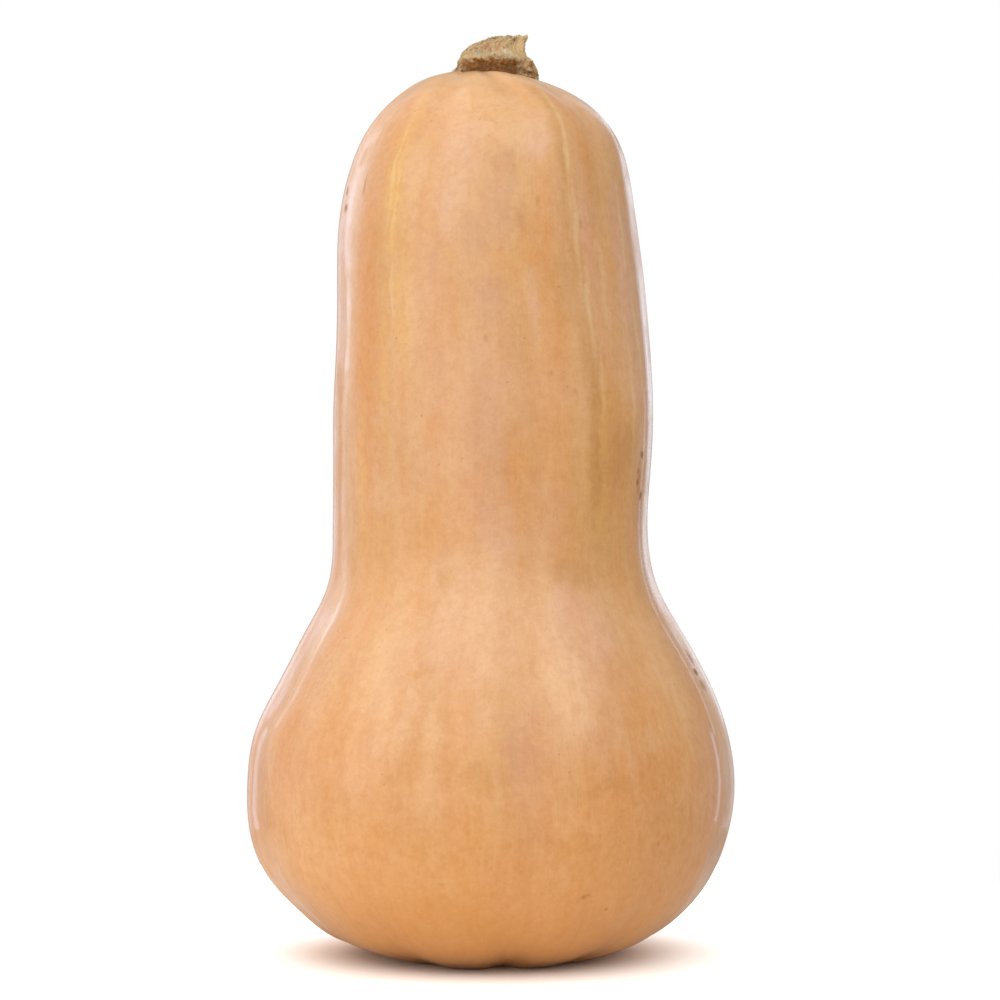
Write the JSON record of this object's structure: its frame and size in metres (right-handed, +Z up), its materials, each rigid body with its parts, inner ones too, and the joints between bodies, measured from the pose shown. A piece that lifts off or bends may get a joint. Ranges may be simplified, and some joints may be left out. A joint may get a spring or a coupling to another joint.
{
  "type": "butternut squash",
  "caption": "Whole pear-shaped winter squash with a long thick neck, a round bulb and a short dry stalk; stands upright on its blossom end.",
  "frame": {"origin": "on the ground, under the middle of the squash as seen from above", "axes": "+Z up the standing squash, from the blossom end to the stalk; -Y is the front and +X is to the right as seen from the front"},
  "size_m": [0.1264, 0.1264, 0.2395],
  "materials": {
    "skin": "smooth waxy skin, satin, buff orange",
    "stalk": "dry, corky and matte, beige grey"
  },
  "bodies": {
    "root": {"fruit": "skin", "stalk": "stalk"}
  },
  "joints": []
}
